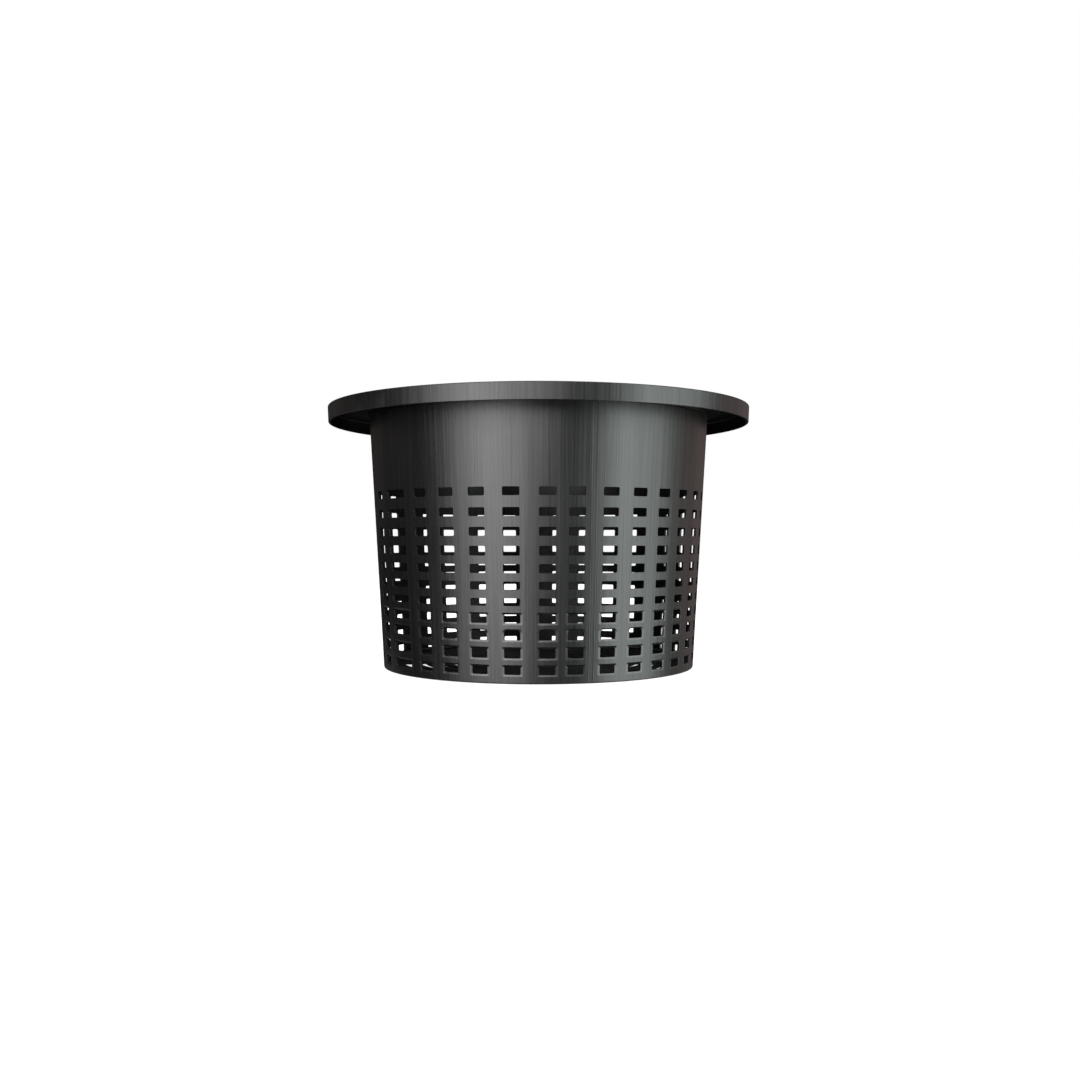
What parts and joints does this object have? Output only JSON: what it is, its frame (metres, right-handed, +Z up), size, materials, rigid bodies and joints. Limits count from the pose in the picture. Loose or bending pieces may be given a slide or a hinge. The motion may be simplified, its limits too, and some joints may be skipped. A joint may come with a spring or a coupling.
{
  "type": "hydroponic net pot",
  "caption": "Tapered round net pot in black plastic: a perforated basket with a plain collar hangs by its lip in a wide skirted flange and has a slotted snap-in floor.",
  "frame": {"origin": "on the pot's axis, at the level that the pot stands on", "axes": "+Z up along the axis towards the mouth, -Y towards the viewer of the picture"},
  "size_m": [0.1876, 0.1876, 0.1148],
  "materials": {
    "flange_plastic": "satin moulded black with faint drawn streaks",
    "wall_plastic": "satin moulded black with faint upright streaks",
    "floor_plastic": "satin moulded black"
  },
  "bodies": {
    "root": {"rim_flange": "flange_plastic", "basket_wall": "wall_plastic", "base_grid": "floor_plastic"}
  },
  "joints": []
}
